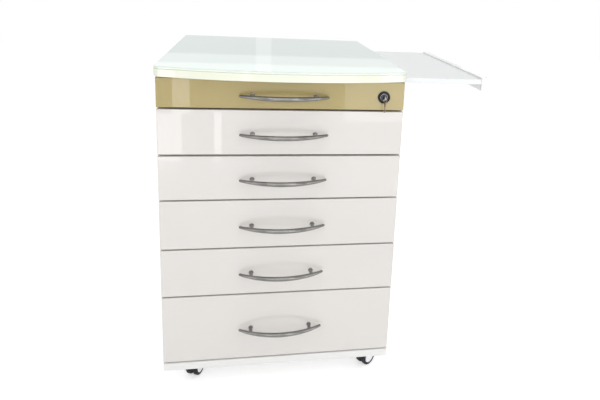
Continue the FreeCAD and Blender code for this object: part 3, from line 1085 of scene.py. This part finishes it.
@dataclass
class BowHandle:
    """A bow handle: a tapered bar on an arc, carried by two posts."""

    length: float = 0.180
    reach: float = 0.036
    tip_reach: float = 0.007
    middle_radius: float = 0.005
    tip_radius: float = 0.0027
    post_spacing: float = 0.128
    post_radius: float = 0.0038
    foot_radius: float = 0.0050
    foot_height: float = 0.0010
    foot_steps: int = 4
    rings: int = 150
    sides: int = 28
    tree: TreeSketch = field(default_factory=bow_tree)

    def arc(self) -> tuple[float, float]:
        """Work out the arc that the bar lies on.

        Returns:
            The arc's radius and half the angle that the bar spans.
        """
        half = self.length / 2
        rise = self.reach - self.tip_reach
        radius = (half * half + rise * rise) / (2.0 * rise)
        return radius, math.asin(half / radius)

    def post(self, x: float, face_y: float, z: float) -> Form:
        """Make a post with its flared foot on the front.

        Args:
            x: Where the post stands, across the front.
            face_y: Depth of the front's face.
            z: Height of the post's axis.

        Returns:
            The post.
        """
        radius, _ = self.arc()
        length = self.reach - radius + math.sqrt(radius * radius - x * x)
        foot = self.foot_radius
        flare = foot - self.post_radius
        profile = [(0.0, 0.0), (foot, 0.0), (foot, self.foot_height)]
        profile += [(foot - flare * sine, self.foot_height + flare * (1.0 - cosine))
                    for sine, cosine in quarter_turn(self.foot_steps, 1)]
        profile += [(self.post_radius, length), (0.0, length)]
        form = lathe(profile, self.sides)
        form.transform(towards(OUTWARD, (x, face_y, z)))
        return form

    def build(self, number: int, face_y: float) -> None:
        """Make the handle of a drawer.

        Args:
            number: The drawer's number, from the top.
            face_y: Depth of the front's face.
        """
        node = f"drawer_{number}_handle"
        low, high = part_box(node)
        z = (low.z + high.z) / 2
        radius, half_angle = self.arc()
        bar = self.tree.grow(bpy.data.meshes.new("seed"), {
            "Arc radius": radius, "Half angle": half_angle,
            "Middle radius": self.middle_radius, "Tip radius": self.tip_radius,
            "Arc centre": (0.0, face_y - self.reach + radius, z), "Rings": self.rings,
            "Sides": self.sides, "Material": HANDLE_NICKEL.material()})
        posts = [self.post(side.value * self.post_spacing / 2, face_y, z) for side in Side]
        publish(f"drawer_{number}_bow_handle", joined([bar, *posts]), HANDLE_NICKEL,
                f"drawer_{number}", None, (node,))


@dataclass
class Drawer:
    """A drawer: front, box, runner members and the screws of its handle."""

    number: int
    handle: BowHandle
    rows: Rows
    arris: float = 0.0016
    board: float = 0.012
    base: float = 0.005
    base_lift: float = 0.008
    top_base_lift: float = 0.004
    box_edge: float = 0.0006
    lock_clearance: float = 0.001
    screw: PanHead = PanHead(0.0029, 0.0016)
    channel_length: float = 0.4
    cage_length: float = 0.3
    cage_sheet: float = 0.0008
    ball_radius: float = 0.00125
    ball_pitch: float = 0.0075

    def body(self) -> str:
        """Return the name of the drawer's moving body."""
        return f"drawer_{self.number}"

    def is_top(self) -> bool:
        """Say whether this is the top drawer, which is gold and has the lock."""
        return self.number == 1

    def build(self) -> None:
        """Make all the pieces of the drawer."""
        node = self.body() + "_front"
        low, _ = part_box(node)
        finish = GOLD_LACQUER if self.is_top() else WHITE_LACQUER
        redress(node + "_panel", node, finish, self.body(), Edge(self.arris))
        self.handle.build(self.number, low.y)
        self.build_box()
        self.build_screws()
        self.build_runners()

    def build_box(self) -> None:
        """Make the five boards of the box; the top box is cut away for the lock."""
        low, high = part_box(self.body() + "_box")
        x0, x1 = low.x + self.board, high.x - self.board
        y0, y1 = low.y + self.board, high.y - self.board
        z0, z1 = low.z, high.z
        lift = self.base_lift
        front = [(x0, z0), (x1, z0), (x1, z1), (x0, z1)]
        right = [(low.y, z0), (high.y, z0), (high.y, z1), (low.y, z1)]
        if self.is_top():
            lift = self.top_base_lift
            cam_low, cam_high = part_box("lock_cam")
            lock_low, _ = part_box("lock_body")
            cut_x = cam_low.x - self.lock_clearance
            cut_y = cam_high.y + self.lock_clearance
            cut_z = lock_low.z + self.lock_clearance
            front = [(x0, z0), (x1, z0), (x1, cut_z), (cut_x, cut_z), (cut_x, z1), (x0, z1)]
            right = [(low.y, z0), (high.y, z0), (high.y, z1), (cut_y, z1), (cut_y, cut_z),
                     (low.y, cut_z)]
        boards = [
            prism(front, Axis.Y, low.y, y0),
            prism(right, Axis.X, x1, high.x),
            block((low.x, low.y, z0), (x0, high.y, z1)),
            block((x0, y1, z0), (x1, high.y, z1)),
            block((x0, y0, z0 + lift), (x1, y1, z0 + lift + self.base)),
        ]
        publish(self.body() + "_drawer_box", joined(boards), DRAWER_FOIL, self.body(),
                Edge(self.box_edge, FINE_SEGMENTS), (self.body() + "_box",))

    def build_screws(self) -> None:
        """Make the heads of the two screws that hold the handle, inside the box."""
        low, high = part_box(self.body() + "_handle")
        box_low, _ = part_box(self.body() + "_box")
        z = (low.z + high.z) / 2
        seeds = [Vector((side.value * self.handle.post_spacing / 2, box_low.y + self.board, z))
                 for side in Side]
        heads = self.rows.set_out(self.screw.form(), seeds, RUNNER_ZINC, facing=(0.0, 1.0, 0.0))
        publish(self.body() + "_handle_screws", heads, RUNNER_ZINC, self.body())

    def build_runners(self) -> None:
        """Dress the drawer members and rebuild the intermediate ones with cages and balls."""
        dress_solid(self.body() + "_runner_inner", RUNNER_ZINC)
        node = self.body() + "_runner_middle"
        members = solid_copy(node)
        cages = []
        seeds = []
        bars = []
        for group in islands(members):
            low, high = corners_of(group)
            if high.y - low.y > self.channel_length:
                continue
            bars += group
            middle = (low.z + high.z) / 2
            half = self.cage_sheet / 2
            cages.append(block((low.x, low.y, middle - half), (high.x, high.y, middle + half)))
            seeds.append(Vector(((low.x + high.x) / 2, low.y + self.ball_pitch / 2, middle)))
        bmesh.ops.delete(members, geom=bars, context="VERTS")
        body = self.body() + "_runner"
        publish(node + "_members", members, RUNNER_ZINC, body, None, (node,))
        if not seeds:
            LOG.warning("no ball cages in %s", node)
            return
        publish(body + "_ball_cages", joined(cages), GUIDE_ALUMINIUM, body)
        balls = self.rows.set_out(ball(self.ball_radius), seeds, BALL_STEEL,
                                  count=int(self.cage_length / self.ball_pitch),
                                  pitch=(0.0, self.ball_pitch, 0.0))
        publish(body + "_balls", balls, BALL_STEEL, body)


@dataclass
class SideTray:
    """The pull-out side tray and its guides."""

    arris: float = 0.0012
    stop_edge: float = 0.0006
    guide_edge: float = 0.0003

    def build(self) -> None:
        """Make the tray board, its fascia, its stop and the guides in the carcass."""
        redress("tray_leaf", "tray_board", TRAY_FOIL, "tray", Edge(self.arris))
        redress("tray_front_strip", "tray_fascia", FASCIA_LACQUER, "tray",
                Edge(self.arris))
        redress("tray_stop_strip", "tray_stop", GUIDE_ALUMINIUM, "tray",
                Edge(self.stop_edge, FINE_SEGMENTS))
        redress("tray_guide_channels", "tray_guides", GUIDE_ALUMINIUM, "root",
                Edge(self.guide_edge, FINE_SEGMENTS))


@dataclass(frozen=True)
class SplitRing:
    """A ring wound of two turns of wire in the XZ plane."""

    wire: float = 0.00032
    turns: int = 2
    pitch: float = 2.1
    steps: int = 96
    sides: int = 10

    def form(self, centre: Vector, radius: float) -> Form:
        """Wind the wire.

        Args:
            centre: Middle of the ring.
            radius: Outer radius of the ring.

        Returns:
            The wire as a closed tube.
        """
        mean = radius - self.wire
        ring = bmesh.new()
        loops = []
        for step in range(self.turns * self.steps + 1):
            angle = 2.0 * math.pi * step / self.steps
            climb = self.wire * self.pitch * (step / self.steps - self.turns / 2)
            outward = Vector((math.cos(angle), 0.0, math.sin(angle)))
            middle = centre + outward * mean + Vector((0.0, climb, 0.0))
            loop = []
            for side in range(self.sides):
                turn = 2.0 * math.pi * side / self.sides
                across = outward * (self.wire * math.cos(turn))
                loop.append(ring.verts.new(
                    middle + across + Vector((0.0, self.wire * math.sin(turn), 0.0))))
            loops.append(loop)
        skin(ring, loops)
        ring.faces.new(loops[0])
        ring.faces.new(loops[-1])
        bmesh.ops.recalc_face_normals(ring, faces=ring.faces)
        return ring


@dataclass
class CamLock:
    """The lock of the top drawer, with its keys on a split ring."""

    sides: int = 64
    radius: float = 0.013
    rim: float = 0.0008
    bezel_round: float = 0.3
    core_radius: float = 0.0082
    core_round: float = 0.4
    barrel_radius: float = 0.0095
    bore: float = 0.00605
    nut_sides: int = 6
    nut_radius: float = 0.012
    nut_thickness: float = 0.003
    plate_edge: float = 0.0004
    cam_edge: float = 0.0002
    key_edge: float = 0.0003
    ring: SplitRing = SplitRing()

    def build(self) -> None:
        """Make the bezel, the core, the nut, the plug, the cam, the striker and the keys."""
        low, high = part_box("lock_body")
        x = (low.x + high.x) / 2
        z = (low.z + high.z) / 2
        front_low, front_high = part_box("drawer_1_front")
        seat = low.y - front_low.y
        end = low.y - high.y
        face = towards(OUTWARD, (x, low.y, z))
        publish("lock_bezel", self.bezel(seat, face), LOCK_BLACK, "drawer_1",
                None, ("lock_body",))
        publish("lock_barrel", self.barrel(seat, end, face), LOCK_STEEL, "drawer_1")
        publish("lock_ring_nut", self.nut(x, front_high.y, z), RUNNER_ZINC, "drawer_1",
                Edge(self.plate_edge, FINE_SEGMENTS))
        redress("lock_turning_plug", "lock_plug", PLUG_STEEL, "lock_plug",
                Edge(self.cam_edge, FINE_SEGMENTS))
        redress("lock_cam_plate", "lock_cam", RUNNER_ZINC, "lock_plug",
                Edge(self.cam_edge, FINE_SEGMENTS))
        redress("lock_striker_plate", "lock_striker", RUNNER_ZINC, "root",
                Edge(self.plate_edge, FINE_SEGMENTS))
        redress("key_in_lock", "key", KEY_NICKEL, "key",
                Edge(self.key_edge, FINE_SEGMENTS))
        redress("key_spare", "spare_key", KEY_BRASS, "spare_key",
                Edge(self.key_edge, FINE_SEGMENTS))
        low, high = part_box("key_ring")
        wire = self.ring.form((low + high) / 2, (high.x - low.x) / 2)
        publish("key_split_ring", wire, KEY_NICKEL, "key_ring", None,
                ("key_ring",))

    def bezel(self, seat: float, face: Matrix) -> Form:
        """Turn the black bezel.

        Args:
            seat: Where the bezel sits on the front, measured back from its own face.
            face: Transform that lays the lock's axis in place.

        Returns:
            The bezel in its place.
        """
        radius, rim = self.radius, self.rim
        form = lathe([(self.core_radius, 0.0), (self.core_radius, seat), (radius, seat),
                      (radius, -rim), (radius - rim * self.bezel_round, -rim * self.bezel_round),
                      (radius - rim, 0.0), (self.core_radius, 0.0)], self.sides)
        form.transform(face)
        return form

    def barrel(self, seat: float, end: float, face: Matrix) -> Form:
        """Turn the bright core and the barrel behind it, with the bore of the plug.

        Args:
            seat: Where the core widens to the barrel.
            end: Where the barrel ends.
            face: Transform that lays the lock's axis in place.

        Returns:
            The barrel in its place.
        """
        core, rim = self.core_radius, self.rim
        form = lathe([(self.bore, -rim), (core - rim, -rim * self.core_round), (core, -rim),
                      (core, seat), (self.barrel_radius, seat), (self.barrel_radius, end),
                      (self.bore, end), (self.bore, -rim)], self.sides)
        form.transform(face)
        return form

    def nut(self, x: float, y: float, z: float) -> Form:
        """Make the nut that holds the lock behind the front.

        Args:
            x: Place of the lock's axis, across the front.
            y: Depth of the front's back.
            z: Height of the lock's axis.

        Returns:
            The nut.
        """
        outline = []
        for step in range(self.nut_sides):
            angle = 2.0 * math.pi * (step + 0.5) / self.nut_sides
            outline.append((x + self.nut_radius * math.cos(angle),
                            z + self.nut_radius * math.sin(angle)))
        return prism(outline, Axis.Y, y, y + self.nut_thickness)


@dataclass
class Caster:
    """A twin-wheel caster with a hood."""

    place: CasterPlace
    half_width: float = 0.0136
    wheel_width: float = 0.010
    tread_round: float = 0.0022
    tread_steps: int = 4
    hub_radius: float = 0.0135
    hub_recess: float = 0.0008
    hub_lip: float = 0.0006
    hub_wall: float = 0.0002
    cap_dome: float = 0.2
    cap_steps: int = 6
    axle_radius: float = 0.003
    hood_edge: float = 0.0006
    sides: int = 72

    def build(self, spin_axis: Sequence[float], axle: Sequence[float]) -> None:
        """Make the hood and the two wheels.

        Args:
            spin_axis: Direction of the axle.
            axle: Middle of the axle.
        """
        name = "caster_" + self.place.value
        low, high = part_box(name + "_wheels")
        radius = (high.z - low.z) / 2
        inner = self.half_width - self.wheel_width
        redress(name + "_hood_shell", name + "_hood", HOOD_BLACK, name + "_swivel",
                Edge(self.hood_edge))
        tyres = [self.wheel(radius, inner, side) for side in Side]
        tyres.append(lathe([(0.0, -inner), (self.axle_radius, -inner),
                            (self.axle_radius, inner), (0.0, inner)], self.sides))
        seated = towards(spin_axis, axle)
        for title, forms, finish, slot, nodes in (
                ("_tyres", tyres, WHEEL_NYLON, "caster_black", (name + "_wheels",)),
                ("_hub_caps", [self.cap(side) for side in Side], CHROME, "caster_chrome", ())):
            form = joined(forms)
            form.transform(seated)
            publish(name + title, form, finish, name + "_wheel", None, nodes)

    def wheel(self, radius: float, inner: float, side: Side) -> Form:
        """Turn one wheel with rounded shoulders and a recess for its cap.

        Args:
            radius: Radius of its tread.
            inner: Distance of its inner face from the middle of the axle.
            side: Which of the two wheels it is.

        Returns:
            The wheel, with the axle along Z.
        """
        outer = self.half_width
        curve = self.tread_round
        shoulder = radius - curve
        profile = [(0.0, inner), (shoulder, inner)]
        profile += [(shoulder + curve * sine, inner + curve * (1.0 - cosine))
                    for sine, cosine in quarter_turn(self.tread_steps, 1)]
        profile += [(shoulder + curve * cosine, outer - curve * (1.0 - sine))
                    for sine, cosine in quarter_turn(self.tread_steps)]
        profile += [(self.hub_radius + self.hub_lip, outer),
                    (self.hub_radius + self.hub_wall, outer - self.hub_recess),
                    (0.0, outer - self.hub_recess)]
        return lathe([(r, side.value * h) for r, h in profile], self.sides)

    def cap(self, side: Side) -> Form:
        """Turn the domed cap over a wheel's hub.

        Args:
            side: Which of the two wheels it is for.

        Returns:
            The cap, with the axle along Z.
        """
        outer = self.half_width
        seat = outer - self.hub_recess
        dome = self.hub_recess * self.cap_dome
        profile = [(self.hub_radius, seat)]
        profile += [(max(self.hub_radius * cosine, 0.0), outer - dome * (1.0 - sine))
                    for sine, cosine in quarter_turn(self.cap_steps)]
        profile.append((0.0, seat))
        return lathe([(r, side.value * h) for r, h in profile], self.sides)


@dataclass
class CasterSet:
    """The four casters and the plates that carry them."""

    rows: Rows
    plate_edge: float = 0.0003
    screw: PanHead = PanHead(0.0032, 0.0018)
    screw_inset: float = 0.0055

    def build(self, joints: Sequence[dict]) -> None:
        """Make the casters, their plates and the plates' screws.

        Args:
            joints: The cabinet's joints, which give the axles.
        """
        by_name = {joint["name"]: joint for joint in joints}
        for place in CasterPlace:
            joint = by_name[f"caster_{place.value}_roll"]
            Caster(place).build(joint["axis"], joint["pos_m"])
        plates = solid_copy("caster_plates")
        seeds = []
        for group in islands(plates):
            low, high = corners_of(group)
            # The kingpin reaches below the plate, so the plate's underside is the level
            # next to its top.
            levels = sorted({round(vertex.co.z, LEVEL_DIGITS) for vertex in group})
            for x in (low.x + self.screw_inset, high.x - self.screw_inset):
                for y in (low.y + self.screw_inset, high.y - self.screw_inset):
                    seeds.append(Vector((x, y, levels[-2])))
        publish("caster_plate_set", plates, CHROME, "root",
                Edge(self.plate_edge, FINE_SEGMENTS), ("caster_plates",))
        heads = self.rows.set_out(self.screw.form(), seeds, RUNNER_ZINC,
                                  facing=(0.0, 0.0, -1.0))
        publish("caster_plate_screws", heads, RUNNER_ZINC, "root")


# ---------------------------------------------------------------- surroundings


@dataclass(frozen=True)
class Lamp:
    """A soft rectangular light."""

    name: str
    place: Place
    aim: Place
    size: tuple[float, float]
    power: float
    colour: Colour = WHITE

    def hang(self) -> None:
        """Hang the light in its place, level and turned to its aim, out of direct sight."""
        light = bpy.data.lights.new(self.name, "AREA")
        light.shape = "RECTANGLE"
        light.size, light.size_y = self.size
        light.energy = self.power
        light.color = self.colour
        lamp = show(self.name, light)
        forward = (Vector(self.aim) - Vector(self.place)).normalized()
        right = forward.cross(Vector((0.0, 0.0, 1.0))).normalized()
        lamp.matrix_world = looking(self.place, right, right.cross(forward), forward)
        lamp.visible_camera = False


CENTRE = (0.0, 0.0, 0.4)
WARM_LIGHT = (1.0, 0.985, 0.96)
COOL_LIGHT = (0.97, 0.985, 1.0)
SKY_LIGHT = (0.95, 0.98, 1.0)
LAMPS = (
    Lamp("key", (-1.7, -2.3, 2.3), CENTRE, (1.6, 1.4), 6.8, WARM_LIGHT),
    Lamp("fill", (2.2, -1.8, 1.5), CENTRE, (1.4, 1.6), 5.4, COOL_LIGHT),
    Lamp("top", (0.0, -1.2, 1.9), (0.0, -0.2, 0.72), (1.2, 0.4), 2.4),
    Lamp("rim", (1.2, 2.4, 1.8), CENTRE, (1.6, 1.2), 3.0),
    Lamp("strip_left", (-0.39, -2.0, 0.42), (-0.37, 0.0, 0.42), (0.08, 0.36), 0.25),
    Lamp("strip_low", (-0.50, -2.0, 0.12), (-0.46, 0.0, 0.12), (0.22, 0.24), 0.40),
    Lamp("strip_middle", (-0.22, -2.0, 0.10), (-0.22, 0.0, 0.10), (0.035, 0.30), 0.09),
    Lamp("card_right", (0.75, -2.0, 0.54), (0.75, 0.0, 0.54), (0.70, 0.67), 2.3),
    Lamp("front", (0.0, -2.9, 1.45), (0.0, 0.0, 0.60), (2.4, 0.60), 14.0),
    Lamp("window", (0.02, 2.5, 1.08), (0.02, 0.0, 1.08), (0.10, 0.34), 0.013),
    Lamp("low_left", (-1.6, -1.6, 0.30), (0.0, 0.0, 0.12), (0.8, 0.3), 2.0, SKY_LIGHT),
    Lamp("low_right", (1.7, -1.6, 0.30), (0.0, 0.0, 0.12), (0.8, 0.3), 2.4, SKY_LIGHT),
    Lamp("sheen_low", (0.1, 2.52, 1.09), (0.1, 0.0, 1.09), (3.0, 0.06), 0.12),
    Lamp("sheen_middle", (0.1, 2.52, 1.15), (0.1, 0.0, 1.15), (3.0, 0.06), 0.26),
    Lamp("sheen_high", (0.1, 2.52, 1.29), (0.1, 0.0, 1.29), (3.0, 0.22), 1.3),
)


@dataclass(frozen=True)
class Viewpoint:
    """Where the cabinet is seen from, and how the view is framed."""

    place: Place = (-0.0706, -1.4908, 0.9022)
    yaw: float = math.radians(11.922)
    pitch: float = math.radians(-13.556)
    roll: float = math.radians(3.278)
    focal_px: float = 592.3
    centre_px: tuple[float, float] = (370.6, 125.1)
    image_px: tuple[int, int] = (600, 400)
    sensor: float = 36.0

    def build(self) -> None:
        """Make the camera and give it to the scene."""
        forward = Vector((math.sin(self.yaw) * math.cos(self.pitch),
                          math.cos(self.yaw) * math.cos(self.pitch), math.sin(self.pitch)))
        level = Vector((math.cos(self.yaw), -math.sin(self.yaw), 0.0))
        upright = level.cross(forward)
        right = level * math.cos(self.roll) + upright * math.sin(self.roll)
        up = upright * math.cos(self.roll) - level * math.sin(self.roll)
        data = bpy.data.cameras.new("camera")
        width, height = self.image_px
        data.sensor_fit = "HORIZONTAL"
        data.sensor_width = self.sensor
        data.lens = self.focal_px * self.sensor / width
        data.shift_x = (width / 2 - self.centre_px[0]) / width
        data.shift_y = (self.centre_px[1] - height / 2) / width
        camera = show("camera", data)
        camera.matrix_world = looking(self.place, right, up, forward)
        bpy.context.scene.camera = camera


@dataclass
class Studio:
    """Pale floor, white surroundings and soft lights."""

    floor_half: float = 6.0
    floor_thickness: float = 0.02
    floor_colour: Colour = (0.90, 0.90, 0.90)
    floor_roughness: float = 0.8
    floor_specular: float = 0.1
    floor_glow: float = 0.50
    ambient: float = 0.57

    def build(self) -> None:
        """Make the floor, the surroundings and the lights, and show colours as they are."""
        bpy.context.scene.view_settings.view_transform = "Standard"
        self.build_floor()
        self.build_world()
        for lamp in LAMPS:
            lamp.hang()

    def build_floor(self) -> None:
        """Make the floor, which holds the cabinet's shadow and is white to the eye."""
        half = self.floor_half
        form = block((-half, -half, -self.floor_thickness), (half, half, 0.0))
        floor = show("floor", to_mesh("floor", form))
        material = bpy.data.materials.new("pale_floor")
        material.use_nodes = True
        sketch = NodeSketch(material.node_tree)
        sketch.set(Base_Color=(*self.floor_colour, 1.0), Roughness=self.floor_roughness,
                   Specular_IOR_Level=self.floor_specular, Emission_Color=(*WHITE, 1.0))
        glow = sketch.add("ShaderNodeMath", operation="MULTIPLY")
        glow.inputs[1].default_value = self.floor_glow
        sketch.link(sketch.seen(), glow.inputs[0])
        sketch.link(glow.outputs[0], sketch.shader.inputs["Emission Strength"])
        floor.data.materials.append(material)

    def build_world(self) -> None:
        """Make the surroundings: white to the eye, softer as a light."""
        world = bpy.data.worlds.new("surroundings")
        bpy.context.scene.world = world
        world.use_nodes = True
        sketch = NodeSketch(world.node_tree, "Background")
        sketch.set(Color=(*WHITE, 1.0))
        strength = sketch.add("ShaderNodeMapRange")
        strength.inputs["To Min"].default_value = self.ambient
        strength.inputs["To Max"].default_value = 1.0
        sketch.link(sketch.seen(), strength.inputs["Value"])
        sketch.link(strength.outputs["Result"], sketch.shader.inputs["Strength"])


def main() -> None:
    """Load the solids and build the looks around them."""
    logging.basicConfig(level=logging.INFO, format="%(name)s: %(message)s")
    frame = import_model()
    rows = Rows()
    handle = BowHandle()
    Carcass().build()
    Worktop().build()
    for number in range(1, DRAWERS + 1):
        Drawer(number, handle, rows).build()
    SideTray().build()
    CamLock().build()
    CasterSet(rows).build(frame["joints"])
    dress_solid("runner_cabinet_members", RUNNER_ZINC)
    Studio().build()
    Viewpoint().build()


if __name__ == "__main__":
    main()
